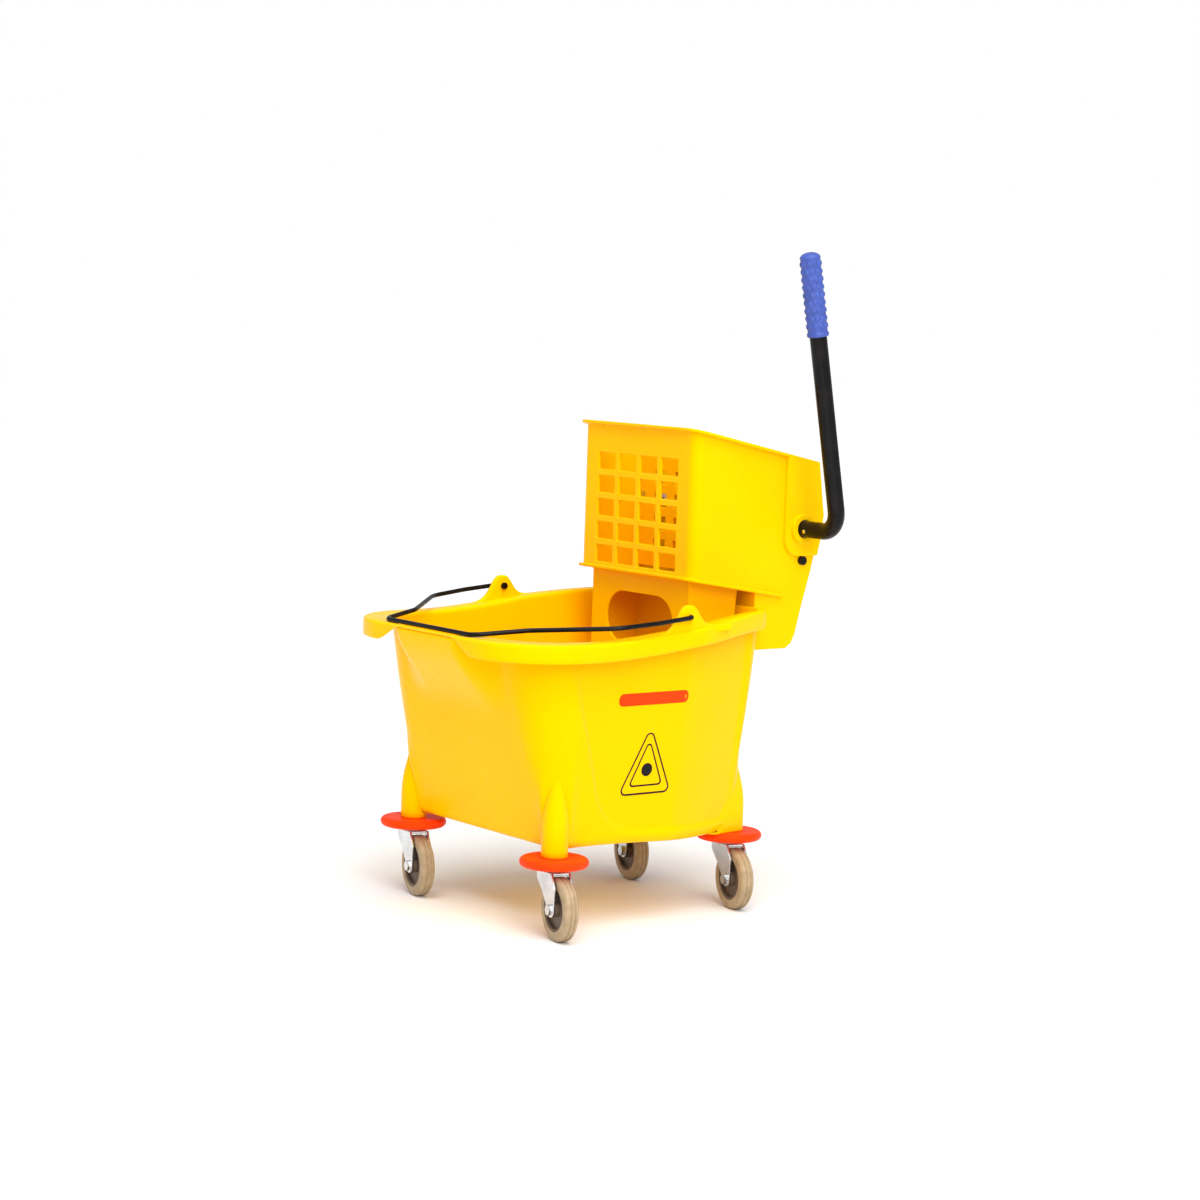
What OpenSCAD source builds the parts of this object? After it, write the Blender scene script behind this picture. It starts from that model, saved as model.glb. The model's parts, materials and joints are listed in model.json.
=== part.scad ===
// Mop bucket on four swivel casters, with a lift-off side-press wringer.
// Millimetres, +Z up, the floor at Z = 0. The pouring end is -Y, the wringer sits at +Y,
// and the press lever stands on the +X side.

/* [Bucket] */
// Half width of the rim between the handle ears
rim_half_w = 196.5; // [164:0.5:236]
// Distance from the middle of the object to the front lip
rim_front = 258; // [215:1:310]
// Distance from the middle of the object to the rear lip
rim_rear = 152; // [127:1:182]
// How much each side of the rim draws in from the ears to the rear corners
rim_taper = 33.5; // [28:0.5:40]
// Height of the rim at the pouring end
rim_z = 348; // [290:1:418]
// Rise of the rim from the pouring end to the wringer
rim_rise = 24; // [10:1:40]
// Depth of the turned-down lip
lip_drop = 22; // [14:1:30]
// Thickness of the moulded walls
wall = 3.6; // [2.5:0.1:5]
// How far the floor's front edge stands back from the front lip
floor_back = 93; // [78:1:112]
// How far the floor's rear edge stands in from the rear lip
floor_forward = 27; // [23:1:32]
// How far the floor's sides stand in from the rim beside the ears
floor_in = 46.5; // [39:0.5:55]
// How far the floor's rear corners stand in from the rim's rear corners
floor_rear_in = 38; // [32:1:46]
// Half width of the pouring spout at the rim
spout_half_w = 80; // [50:1:95]

/* [Casters] */
// Wheel diameter
wheel_d = 75; // [62:1:90]
// Wheel width
wheel_w = 17; // [14:1:21]
// Distance from the swivel axis to the axle
caster_trail = 20; // [16:1:24]
// Direction that the casters trail in at rest, from +X
caster_turn = -12; // [-180:1:180]
// Diameter of the round wall bumpers
bumper_d = 81.5; // [70:0.5:98]
// Thickness of the round wall bumpers
bumper_h = 11; // [9:0.5:14]
// Diameter of the caster stems
stem_d = 11; // [9:0.5:13.5]

/* [Handle] */
// Diameter of the bail wire
bail_d = 5.6; // [4.5:0.1:7]
// Height of the bail pivot above the front rim
bail_rise = 26; // [21:1:32]

/* [Wringer] */
// How far the basket's sides stand in from the rim's rear corners
basket_gap = 50; // [41:1:60]
// How far the basket's front face stands ahead of the bucket's rear lip
basket_ahead = 99; // [90:1:108]
// Height of the basket floor above the rear rim
basket_clear = 33; // [27:1:40]
// Height of the basket's front panel
basket_h = 184; // [160:1:221]
// Thickness of the wringer walls
basket_wall = 4; // [3:0.1:5]
// Rows of holes in the front panel
hole_rows = 5; // [3:1:5]
// Columns of holes in the front panel
hole_columns = 4; // [3:1:6]

/* [Press] */
// Height of the lever shaft above the basket floor
shaft_rise = 62; // [56:1:70]
// Diameter of the lever shaft
shaft_d = 16; // [13:0.5:18]
// Teeth on each pinion
pinion_teeth = 18; // [15:1:20]
// Gear module of the pinions and racks
gear_module = 2.5; // [2:0.25:3]
// Outer diameter of the lever tube
lever_d = 21; // [19:0.5:25.5]
// Distance from the basket's side out to the middle of the lever
lever_out = 73; // [66:1:88]
// Distance from the shaft axis to the top of the grip
lever_reach = 343; // [280:1:412]
// Forward lean of the lever at rest
lever_lean = 11; // [0:1:20]
// Diameter of the hand grip
grip_d = 26; // [24:0.5:32]
// Length of the hand grip
grip_len = 101; // [84:1:122]

/* [Hidden] */

$fn = 64;
running_fit = 0.05;   // radial clearance of a turning fit
slide_fit = 0.6;      // gap between a sliding piece and its guide
eps = 0.01;

function side(s) = s < 0 ? "left" : "right";

/* Colours of the moulded and metal pieces. */
yellow = [1.0, 0.84, 0.0];
orange = [1.0, 0.28, 0.06];
zinc = [0.78, 0.79, 0.80];
tyre_tan = [0.72, 0.64, 0.52];
core_tan = [0.42, 0.37, 0.31];
grip_blue = [0.33, 0.45, 0.84];
black = [0.05, 0.05, 0.05];
white = [0.93, 0.93, 0.90];

/* ---------- Bucket ---------- */

ear_y = -12;                     // the ears and the bail pivot
ramp_y = [ear_y - 138, rim_rear - 2];   // the rim climbs gently between these two places
rim_top_z = rim_z + rim_rise;    // rim height at the wringer
rim_rear_half_w = rim_half_w - rim_taper;
rear_corner = 40;                // plan radius of the rear corners of the rim
floor_front = rim_front - floor_back;
floor_rear = rim_rear - floor_forward;
floor_half_w = rim_half_w - floor_in;
floor_rear_half_w = rim_rear_half_w - floor_rear_in;
bail_z = rim_z + bail_rise;
bumper_top = wheel_d + 20;
leg_r = 16;
leg_straight = 50;
leg_fade = 60;                   // the legs taper away into the walls over this height
leg_z = bumper_top;              // lower face of the corner legs
floor_z = leg_z + 7;             // outer face of the bucket floor
floor_edge = 12;                 // height of the chamfered lower edge
edge_in = 8;                     // how far that edge draws in
socket_depth = 45;
rim_corner = 95;                 // plan radius of the front corners of the rim
wall_corner = 80;                // and of the walls just below it, in front
wall_rear_corner = 32;           // and behind
floor_corner = 23;               // plan radius of the floor's corners
edge_corner = 18;
rim_zone = 60;                   // taller than the climb and the lip, each way from rim_z
overhang = 20;                   // how far the lip stands out from the wall at the sides
front_overhang = 31;
spout_drop = 100;                // height over which the front wall sweeps out to the spout
rear_side_overhang = 12;
rear_overhang = 5;
far = 300;                       // past the object on every side, for cuts
caster_front_x = floor_half_w - 3;
caster_rear_x = floor_rear_half_w - 22;
caster_front_y = -floor_front;
caster_rear_y = floor_rear + 10;

/* Points of a round corner, from one angle to another. */
function arc(c, r, a0, a1, n = 10) =
    [for (i = [0 : n]) c + r * [cos(a0 + (a1 - a0) * i / n), sin(a0 + (a1 - a0) * i / n)]];

/* Plan of the bucket: parallel sides as far as the ears, then narrowing to the rear. */
function plan_right(hw, rear_hw, front, rear, r_front, r_rear) =
    let (turn = atan2(hw - rear_hw, rear - ear_y - rear_corner))
    concat(
        arc([hw - r_front, -front + r_front], r_front, -90, 0),
        [[hw, ear_y + 20]],
        arc([rear_hw - r_rear, rear - r_rear], r_rear, turn, 90, 8));

function mirrored(points) = [for (i = [len(points) - 1 : -1 : 0]) [-points[i].x, points[i].y]];

module plan(hw, rear_hw, front, rear, r_front, r_rear)
{
    right = plan_right(hw, rear_hw, front, rear, r_front, r_rear);
    polygon(concat(right, mirrored(right)));
}

module rim_plan(inset)
{
    plan(rim_half_w - inset, rim_rear_half_w - inset, rim_front - inset, rim_rear - inset,
        rim_corner - inset, rear_corner - inset);
}

/* The tapering tub, drawn in by the given amount all round. */
module tub(inset, bottom, top)
{
    wall_front = rim_front - front_overhang;
    hull()
    {
        translate([0, 0, bottom])
            linear_extrude(eps)
                plan(floor_half_w - inset - edge_in, floor_rear_half_w - inset - edge_in,
                    floor_front - inset - edge_in, floor_rear - inset - edge_in, edge_corner, edge_corner);
        translate([0, 0, bottom + floor_edge])
            linear_extrude(eps)
                plan(floor_half_w - inset, floor_rear_half_w - inset,
                    floor_front - inset, floor_rear - inset, floor_corner, floor_corner);
        translate([0, 0, top])
            linear_extrude(eps)
                plan(rim_half_w - overhang - inset, rim_rear_half_w - rear_side_overhang - inset,
                    wall_front - inset, rim_rear - rear_overhang - inset,
                    wall_corner - inset, wall_rear_corner - inset);
    }
}

/* A slab that follows the climb of the rim, from z0 to z1 above the rim's top face. */
module rim_band(z0, z1)
{
    steps = 10;
    climb = [for (i = [0 : steps])
        let (t = i / steps)
        [ramp_y[0] + (ramp_y[1] - ramp_y[0]) * t, rim_z + rim_rise * t * t * (3 - 2 * t)]];
    line = concat([[-2 * far, rim_z]], climb, [[far, rim_top_z]]);
    slab_x(-far, far)
        polygon(concat(
            [for (p = line) p + [0, z0]],
            [for (i = [len(line) - 1 : -1 : 0]) line[i] + [0, z1]]));
}

/* How far forward the sloping front wall stands at a given height. */
function wall_front_at(z) =
    floor_front + (floor_back - front_overhang)
        * (z - floor_z - floor_edge) / (rim_top_z - floor_z - floor_edge);

/* The front wall sweeps forward to the edge of the rim between the two front corners. */
module spout(inset, top)
{
    low = rim_z - spout_drop;
    low_half_w = spout_half_w * 0.85 - inset;
    hull()
    {
        translate([-spout_half_w + inset, -rim_front + inset, rim_z - 2])
            cube([2 * (spout_half_w - inset), 50, top - rim_z + 2]);
        translate([-low_half_w, -wall_front_at(low) + inset, low])
            cube([2 * low_half_w, 5, 1]);
    }
}

module ear_outline()
{
    crown = 14;
    translate([ear_y, bail_z])
        circle(crown);
    polygon([
        [ear_y - 42, rim_z - 8], [ear_y - 42, rim_z - 1], [ear_y - 27, rim_z + 5], [ear_y - 18, rim_z + 15],
        [ear_y - crown, bail_z], [ear_y + crown, bail_z], [ear_y + 18, rim_z + 17], [ear_y + 28, rim_z + 9],
        [ear_y + 46, rim_z + 6], [ear_y + 46, rim_z - 8]]);
}

ear_out = rim_half_w - 3.5;      // outer face of each ear
ear_t = 8;
corner_names = ["fl", "fr", "rl", "rr"];
corner_xy = [
    [-caster_front_x, caster_front_y], [caster_front_x, caster_front_y],
    [-caster_rear_x, caster_rear_y], [caster_rear_x, caster_rear_y]];

module corner_places()
{
    for (place = corner_xy)
        translate([place.x, place.y, 0])
            children();
}

/* Fills the corner between each rear leg and the side wall, so that the two are flush. */
module rear_leg_fairings()
{
    reach = 34;
    wall_r = 10;
    for (s = [-1, 1])
        translate([0, 0, leg_z + 1])
            hull()
            {
                translate([s * caster_rear_x, caster_rear_y, 0])
                    cylinder(h = leg_straight, r = leg_r + 1.5, $fn = 32);
                translate([s * (floor_rear_half_w - wall_r), caster_rear_y - reach, 0])
                    cylinder(h = leg_straight, r = wall_r, $fn = 32);
            }
}

module bucket()
{
    color(yellow)
        difference()
        {
            union()
            {
                difference()
                {
                    union()
                    {
                        tub(0, floor_z, rim_top_z);
                        rear_leg_fairings();
                        spout(0, rim_z);
                        // Flat top of the rim, and the lip turned down from its edge.
                        intersection()
                        {
                            rim_band(-wall, 0);
                            translate([0, 0, rim_z - rim_zone])
                                linear_extrude(2 * rim_zone)
                                    rim_plan(0);
                        }
                        intersection()
                        {
                            rim_band(-lip_drop, 0);
                            translate([0, 0, rim_z - rim_zone])
                                linear_extrude(2 * rim_zone)
                                    difference()
                                    {
                                        rim_plan(0);
                                        rim_plan(wall);
                                        translate([-spout_half_w, -rim_front - 1])
                                            square([2 * spout_half_w, front_overhang]);
                                    }
                        }
                    }
                    tub(wall, floor_z + wall, rim_top_z + 30);
                    spout(wall, rim_z + 30);
                    rim_band(0, 200);
                }
                for (sx = [-1, 1])
                    translate([sx > 0 ? ear_out - ear_t : -ear_out, 0, 0])
                        rotate([90, 0, 90])
                            linear_extrude(ear_t)
                                ear_outline();
                corner_places()
                    translate([0, 0, leg_z])
                    {
                        cylinder(h = leg_straight, r = leg_r);
                        translate([0, 0, leg_straight])
                            cylinder(h = leg_fade, r1 = leg_r, r2 = 3);
                    }
            }
            corner_places()
                translate([0, 0, leg_z - 1])
                    cylinder(h = socket_depth + 1, d = stem_d);
            translate([-far, ear_y, bail_z])
                rotate([0, 90, 0])
                    cylinder(h = 2 * far, d = bail_d + 2 * running_fit);
        }
}

/* ---------- Bail handle ---------- */

bail_rest = [rim_front - 7, rim_z + bail_d / 2 + 0.3];   // crossbar: how far forward, and how high

/* Half of the wire in its own plane: across, forward of the pivot, and the bend radius there. */
function bail_length() = norm([bail_rest[0] + ear_y, bail_z - bail_rest[1]]);
function bail_side() = [
    [ear_out - ear_t - 4, 0, 0], [ear_out + 5.5, 0, 6], [ear_out + 7, 50, 40], [ear_out - 2, 104, 40],
    [ear_out - 76, bail_length() - 60, 25], [ear_out - 99, bail_length() - 8, 10],
    [ear_out - 108, bail_length(), 10]];

function bearing(a, b) = atan2(b.y - a.y, b.x - a.x);
function turn_at(p, i) = (bearing(p[i], p[i + 1]) - bearing(p[i - 1], p[i]) + 540) % 360 - 180;
function cut_at(p, i) = i == 0 || i == len(p) - 1 ? 0 : p[i][2] * tan(abs(turn_at(p, i)) / 2);

/* Round wire along a flat path of straight runs joined by bends. A hair-thin collar covers each
   place where a run meets a bend. */
module bent_wire(p, d)
{
    gap = 0.15;
    collar_len = 1;
    for (i = [0 : len(p) - 2])
    {
        run = norm([p[i + 1].x - p[i].x, p[i + 1].y - p[i].y]);
        start = cut_at(p, i);
        end = run - cut_at(p, i + 1);
        translate([p[i].x, p[i].y, 0])
            rotate([0, 0, bearing(p[i], p[i + 1])])
                rotate([0, 90, 0])
                {
                    translate([0, 0, i == 0 ? start : start + gap])
                        cylinder(h = end - start - (i == 0 || i == len(p) - 2 ? gap : 2 * gap), d = d);
                    if (i > 0)
                        translate([0, 0, start - collar_len / 2])
                            cylinder(h = collar_len, d = d + 0.1);
                    if (i < len(p) - 2)
                        translate([0, 0, end - collar_len / 2])
                            cylinder(h = collar_len, d = d + 0.1);
                }
    }
    for (i = [1 : len(p) - 2])
    {
        turn = turn_at(p, i);
        way = turn > 0 ? 1 : -1;
        translate([p[i].x, p[i].y, 0])
            rotate([0, 0, bearing(p[i - 1], p[i])])
                translate([-cut_at(p, i), way * p[i][2], 0])
                    rotate([0, 0, way > 0 ? -90 : 90 + turn])
                        rotate_extrude(angle = abs(turn), $fn = 96)
                            translate([p[i][2], 0])
                                circle(d = d);
    }
}

module bail_handle()
{
    dip = atan2(bail_z - bail_rest[1], bail_rest[0] + ear_y);
    right = [for (p = bail_side()) [p.x, -p.y, p[2]]];
    left = [for (i = [len(right) - 1 : -1 : 0]) [-right[i].x, right[i].y, right[i][2]]];
    color(black)
        translate([0, ear_y, bail_z])
            rotate([dip, 0, 0])
            {
                bent_wire(concat(right, left), bail_d);
                // The wire's ends are upset into small heads inside the ears.
                for (s = [-1, 1])
                    translate([s * (ear_out - ear_t - 1), 0, 0])
                        rotate([0, -s * 90, 0])
                            cylinder(h = 3, d = bail_d + 3);
            }
}

/* ---------- Casters ---------- */

wheel_r = wheel_d / 2;
core_r = wheel_r - 11.5;
axle_d = 8;
hex_d = 13;                      // across the corners of the bolt's head and the nut
head_h = 4;
nut_h = 5;
fork_in = wheel_w / 2 + 1.5;     // half gap between the fork's cheeks
fork_t = 2.5;
crown_z = wheel_d + 2;           // underside of the fork's crown
race_z = crown_z + fork_t + 0.4; // underside of the fixed race
kingpin_d = 10;
crown_half = 20;                 // the crown's half length along the trail
race_r = fork_in + fork_t + 3;

module at_corner(i)
{
    translate([corner_xy[i].x, corner_xy[i].y, 0])
        children();
}

module at_axle(i)
{
    at_corner(i)
        rotate([0, 0, caster_turn])
            translate([caster_trail, 0, wheel_r])
                rotate([90, 0, 0])
                    children();
}

module bumper(i)
{
    edge = bumper_h / 2;
    color(orange)
        at_corner(i)
            translate([0, 0, bumper_top - bumper_h])
                rotate_extrude($fn = 96)
                    difference()
                    {
                        union()
                        {
                            square([bumper_d / 2 - edge, bumper_h]);
                            translate([bumper_d / 2 - edge, edge])
                                circle(edge);
                        }
                        translate([-far, -far])
                            square([far + stem_d / 2, 2 * far]);
                    }
}

/* Stem pressed into the leg, with the fixed race and the kingpin below it. */
module caster_stem(i)
{
    color(zinc)
        at_corner(i)
        {
            translate([0, 0, bumper_top - bumper_h])
                cylinder(h = bumper_h + socket_depth - 3, d = stem_d);
            translate([0, 0, race_z])
                cylinder(h = bumper_top - bumper_h - race_z, r = race_r);
            translate([0, 0, crown_z - 1.2])
                cylinder(h = race_z - crown_z + 2, d = kingpin_d);
            translate([0, 0, crown_z - 1.6])
                cylinder(h = 1.4, d = kingpin_d + 6);
        }
}

eye_r = 9;                       // round lower end of each cheek, and the wheel's boss

/* Pressed-steel fork: a round crown, and two cheeks that narrow down to the axle. */
module fork_cheek()
{
    rotate([90, 0, 0])
        linear_extrude(fork_t)
            difference()
            {
                union()
                {
                    polygon([
                        [-crown_half, crown_z + fork_t], [crown_half, crown_z + fork_t],
                        [caster_trail + eye_r + 1, crown_z - 14], [caster_trail + eye_r, wheel_r],
                        [caster_trail - eye_r, wheel_r], [-4, crown_z - 22], [-crown_half, crown_z - 8]]);
                    translate([caster_trail, wheel_r])
                        circle(eye_r);
                }
                translate([caster_trail, wheel_r])
                    circle(d = axle_d);
            }
}

module caster_fork(i)
{
    color(zinc)
        at_corner(i)
            rotate([0, 0, caster_turn])
                difference()
                {
                    union()
                    {
                        translate([0, -fork_in, 0])
                            fork_cheek();
                        translate([0, fork_in + fork_t, 0])
                            fork_cheek();
                        translate([-crown_half, -fork_in - eps, crown_z])
                            cube([2 * crown_half, 2 * (fork_in + eps), fork_t]);
                        translate([0, 0, crown_z])
                            cylinder(h = fork_t, r = race_r);
                    }
                    translate([0, 0, crown_z - 1])
                        cylinder(h = fork_t + 2, d = kingpin_d + 2 * running_fit);
                }
}

module axle_bolt(i)
{
    color(zinc)
        at_axle(i)
        {
            translate([0, 0, -fork_in - fork_t - nut_h - 1])
                cylinder(h = 2 * (fork_in + fork_t) + nut_h + 1, d = axle_d);
            translate([0, 0, fork_in + fork_t])
                cylinder(h = head_h, d = hex_d, $fn = 6);
        }
}

module axle_nut(i)
{
    color(zinc)
        at_axle(i)
            translate([0, 0, -fork_in - fork_t - nut_h])
                difference()
                {
                    cylinder(h = nut_h, d = hex_d, $fn = 6);
                    translate([0, 0, -1])
                        cylinder(h = nut_h + 2, d = axle_d);
                }
}

/* Core: a rim, a thin web and a boss that runs on the axle. */
module wheel_core(i)
{
    core_rim = 3;
    web_half = 3.5;
    color(core_tan)
        at_axle(i)
            rotate_extrude($fn = 96)
                difference()
                {
                    union()
                    {
                        translate([0, -wheel_w / 2 + 1])
                            square([core_r, wheel_w - 2]);
                        translate([0, -fork_in + 0.4])
                            square([eye_r, 2 * fork_in - 0.8]);
                    }
                    translate([-far, -far])
                        square([far + axle_d / 2 + running_fit, 2 * far]);
                    for (s = [-1, 1])
                        translate([eye_r, s > 0 ? web_half : -wheel_w])
                            square([core_r - eye_r - core_rim, wheel_w - web_half]);
                }
}

module wheel_tyre(i)
{
    shoulder = 5;
    groove = 1.2;
    color(tyre_tan)
        at_axle(i)
            rotate_extrude($fn = 96)
                difference()
                {
                    union()
                    {
                        translate([core_r, -wheel_w / 2])
                            square([wheel_r - core_r - shoulder, wheel_w]);
                        translate([core_r, -wheel_w / 2 + shoulder])
                            square([wheel_r - core_r, wheel_w - 2 * shoulder]);
                        for (s = [-1, 1])
                            translate([wheel_r - shoulder, s * (wheel_w / 2 - shoulder)])
                                circle(shoulder);
                    }
                    for (s = [-1, 1])
                        translate([wheel_r, s * (wheel_w / 2 - shoulder - 1)])
                            circle(groove, $fn = 16);
                    square([2 * core_r, 2 * wheel_w], center = true);
                }
}

/* ---------- Wringer frame ---------- */

basket_half_w = rim_rear_half_w - basket_gap;
basket_front = rim_rear - basket_ahead;
basket_bottom = rim_top_z + basket_clear;
basket_top = basket_bottom + basket_h;
shaft_y = basket_front + 168;
shaft_z = basket_bottom + shaft_rise;
basket_in = basket_half_w - basket_wall;
cheek_x = basket_half_w + 6;       // outer face of the raised gear cheeks
cheek_y = shaft_y - 26;            // front edge of the raised gear cheeks
skirt_front = rim_rear + 2;        // the skirt hangs just behind the bucket's rear lip
skirt_bottom = rim_top_z - 54;
pedestal_rear = rim_rear - 12;     // at the basket floor, in front of the bucket's rear wall
pedestal_lean = 10;                // its rear leans forward by this much, as the bucket's wall does
pedestal_half_w = basket_half_w - 17;
drain_half_w = pedestal_half_w - 30;
drain_r = 32;
pedestal_front = basket_front + 10;
pedestal_bottom = rim_top_z - 90;
top_slope = 0.205;
floor_slope = 0.16;
cheek_drop = 34;                   // how far the gear cheeks reach below the shaft
rear_x = shaft_y + 36;             // rearmost point of the gear housing
foot_x = pedestal_half_w - 34;
foot_w = 16;

function top_at(y) = basket_top - top_slope * (y - basket_front);
function floor_at(y) = basket_bottom - floor_slope * (y - basket_front);

/* Rear outline of the gear housing and the skirt below it, from the top down. */
function rear_line() = [
    [rear_x - 10, top_at(rear_x - 10)], [rear_x - 3, shaft_z + 35], [rear_x, shaft_z + 16],
    [rear_x - 4, shaft_z - 15], [rear_x - 14, shaft_z - 56], [rear_x - 26, shaft_z - 96],
    [rear_x - 35, skirt_bottom + 18], [rear_x - 41, skirt_bottom + 6], [rear_x - 50, skirt_bottom]];

module side_outline()
{
    polygon(concat(
        [[basket_front, floor_at(basket_front)], [basket_front, basket_top]],
        rear_line(),
        [[skirt_front, skirt_bottom], [skirt_front, floor_at(skirt_front)]]));
}

/* Turns an outline drawn across (Y, Z) into a slab between two places along X. */
module slab_x(x0, x1)
{
    translate([x0, 0, 0])
        rotate([90, 0, 90])
            linear_extrude(x1 - x0)
                children();
}

/* Plan of the basket with its rounded front corners. */
module basket_plan(inset)
{
    corner = 14;
    hw = basket_half_w - inset;
    front = basket_front + inset;
    right = concat(arc([hw - corner + inset, front + corner - inset], corner - inset, -90, 0), [[hw, 400]]);
    polygon(concat(right, mirrored(right)));
}

module basket_holes()
{
    pitch_x = 2 * (basket_half_w - 30) / hole_columns;
    pitch_z = 29;
    top = basket_top - 38;
    for (row = [0 : hole_rows - 1])
        for (column = [0 : hole_columns - 1])
            translate([
                (column - (hole_columns - 1) / 2) * pitch_x - pitch_x * 0.4,
                basket_front - 1,
                top - row * pitch_z - 21])
                cube([pitch_x * 0.8, basket_wall + 2, 21]);
}

/* Turned-out lips round the top edge and the bottom edge of the basket. */
module basket_lip(z, slope, thick, reach)
{
    intersection()
    {
        difference()
        {
            translate([0, 0, z - 80])
                linear_extrude(100)
                    basket_plan(-reach);
            translate([0, 0, z - 81])
                linear_extrude(102)
                    basket_plan(basket_wall / 2);
        }
        slab_x(-200, 200)
            polygon([
                [basket_front - 30, z + slope * 30 - thick], [basket_front - 30, z + slope * 30],
                [cheek_y, z - slope * (cheek_y - basket_front)],
                [cheek_y, z - slope * (cheek_y - basket_front) - thick]]);
    }
}

module drain_slots()
{
    pitch = (pedestal_half_w - 18) / 3;
    for (i = [-3 : 3])
        translate([i * pitch - 6, pedestal_front + 8, floor_at(pedestal_rear) - 10])
            cube([12, pedestal_rear - pedestal_front - 18, 60]);
}

/* Side view of the pedestal, drawn in by the given amount. */
module pedestal_outline(inset, below)
{
    polygon([
        [pedestal_front + inset, pedestal_bottom - below],
        [pedestal_front + inset, floor_at(pedestal_front) + 1 - inset],
        [pedestal_rear - inset, floor_at(pedestal_rear) + 1 - inset],
        [pedestal_rear - pedestal_lean - inset, pedestal_bottom - below]]);
}

/* Hollow stand that drops into the bucket and lets the water out. */
module pedestal()
{
    difference()
    {
        slab_x(-pedestal_half_w, pedestal_half_w)
            pedestal_outline(0, 0);
        slab_x(-pedestal_half_w + basket_wall, pedestal_half_w - basket_wall)
            pedestal_outline(basket_wall, 1);
        // Wide round-ended drain opening in the front.
        translate([0, pedestal_front - 1, floor_at(pedestal_rear) - 43])
            rotate([-90, 0, 0])
                linear_extrude(basket_wall + 2)
                {
                    square([2 * (drain_half_w - drain_r), 2 * drain_r], center = true);
                    for (s = [-1, 1])
                        translate([s * (drain_half_w - drain_r), 0])
                            circle(drain_r);
                }
    }
}

module gear_cheek()
{
    drop = shaft_z - cheek_drop;
    corner = 22;
    intersection()
    {
        polygon(concat(
            [[cheek_y, 700]],
            arc([cheek_y + corner, drop + corner], corner, 180, 270, 8),
            [[rear_x + 10, drop], [rear_x + 10, 700]]));
        side_outline();
    }
}

module wringer_frame()
{
    color(yellow)
        difference()
        {
            union()
            {
                difference()
                {
                    intersection()
                    {
                        slab_x(-basket_half_w, basket_half_w)
                            side_outline();
                        translate([0, 0, pedestal_bottom - 50])
                            linear_extrude(500)
                                basket_plan(0);
                    }
                    // Inside of the basket above its sloping floor.
                    intersection()
                    {
                        slab_x(-basket_in, basket_in)
                            polygon([
                                [basket_front + basket_wall, floor_at(basket_front) + basket_wall],
                                [basket_front + basket_wall, 800], [rear_x + 50, 800],
                                [rear_x + 50, floor_at(skirt_front) + basket_wall],
                                [skirt_front, floor_at(skirt_front) + basket_wall]]);
                        translate([0, 0, pedestal_bottom - 50])
                            linear_extrude(600)
                                basket_plan(basket_wall);
                    }
                    // Hollow of the skirt, open below and behind.
                    translate([-basket_in, skirt_front + basket_wall, skirt_bottom - 10])
                        cube([2 * basket_in, 200, floor_at(skirt_front) - skirt_bottom + 40]);
                    basket_holes();
                    drain_slots();
                }
                basket_lip(basket_top, top_slope, 4, 7);
                basket_lip(basket_bottom + 4, floor_slope, 4, 6);
                for (s = [-1, 1])
                {
                    slab_x(s > 0 ? basket_half_w - 1 : -cheek_x, s > 0 ? cheek_x : -basket_half_w + 1)
                        gear_cheek();
                    translate([s > 0 ? basket_half_w : -cheek_x - 6, shaft_y, shaft_z])
                        rotate([0, 90, 0])
                            cylinder(h = cheek_x - basket_half_w + 6, r = 18.5);
                    // Ledge that keeps the rack down on its pinion.
                    translate([s > 0 ? rack_x + 2 : -basket_in - 1, ledge_y, rack_top + slide_fit])
                        cube([basket_in - rack_x - 1, ledge_len, 4]);
                    // Blocks that the rear cover's screws go into.
                    for (place = screw_places())
                        translate([
                            s > 0 ? basket_in - block_w : -basket_in - 1,
                            place.x - cover_t - block_gap - block_len,
                            place.y - block_w / 2])
                            cube([block_w + 1, block_len, block_w]);
                    // Foot that stands on the bucket's rear rim.
                    translate([s * foot_x - foot_w / 2, pedestal_rear - 4, rim_top_z])
                        cube([
                            foot_w,
                            skirt_front - pedestal_rear + 5,
                            floor_at(skirt_front) - rim_top_z + 2]);
                }
                pedestal();
            }
            // Seats for the bushes; the right boss lets the lever out and the left one is blind.
            translate([-bush_end, shaft_y, shaft_z])
                rotate([0, 90, 0])
                    cylinder(h = 2 * bush_end, r = bush_r);
            translate([0, shaft_y, shaft_z])
                rotate([0, 90, 0])
                    cylinder(h = far, r = lever_d / 2 + slide_fit);
            translate([-far, rod_y, rod_z])
                rotate([0, 90, 0])
                    cylinder(h = 2 * far, d = rod_d);
            at_screws()
                cylinder(h = cover_t + block_gap + block_len + 1, d = screw_d);
        }
}

/* ---------- Rear cover and fasteners ---------- */

spring_wire_r = 1.6;
spring_turns = 5;
spring_pitch = 3.4;
spring_r = shaft_d / 2 + 3;
spring_tail = 45;                  // straight end that rests on the tie rod
spring_steps = 16;                 // rings for each turn
spring_sides = 6;
rod_d = 7;
rod_head = rod_d + 4;
rod_y = shaft_y + spring_r - spring_wire_r - rod_d / 2 - 0.1;   // the springs' tails rest on it
rod_z = shaft_z - cheek_drop - rod_head / 2 - 0.5;
cover_t = 3.6;
cover_half_w = basket_in;

function shift_forward(points, d) = [for (i = [len(points) - 1 : -1 : 0]) points[i] - [d, 0]];
function screw_places() = [[rear_x - 5, shaft_z + 46], [rear_x - 22.5, shaft_z - 84]];
block_w = 12;
block_len = 14;
block_gap = 3;                     // clears the slanting inside of the cover
screw_seat = 1.8;                  // how deep the screw heads sit below the cover's face

/* Puts a shape at each screw, with +Z pointing into the wringer from the screw head's seat. */
module at_screws()
{
    for (s = [-1, 1])
        for (place = screw_places())
            translate([s * (basket_in - block_w / 2), place.x - screw_seat, place.y])
                rotate([90, 0, 0])
                    children();
}

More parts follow.
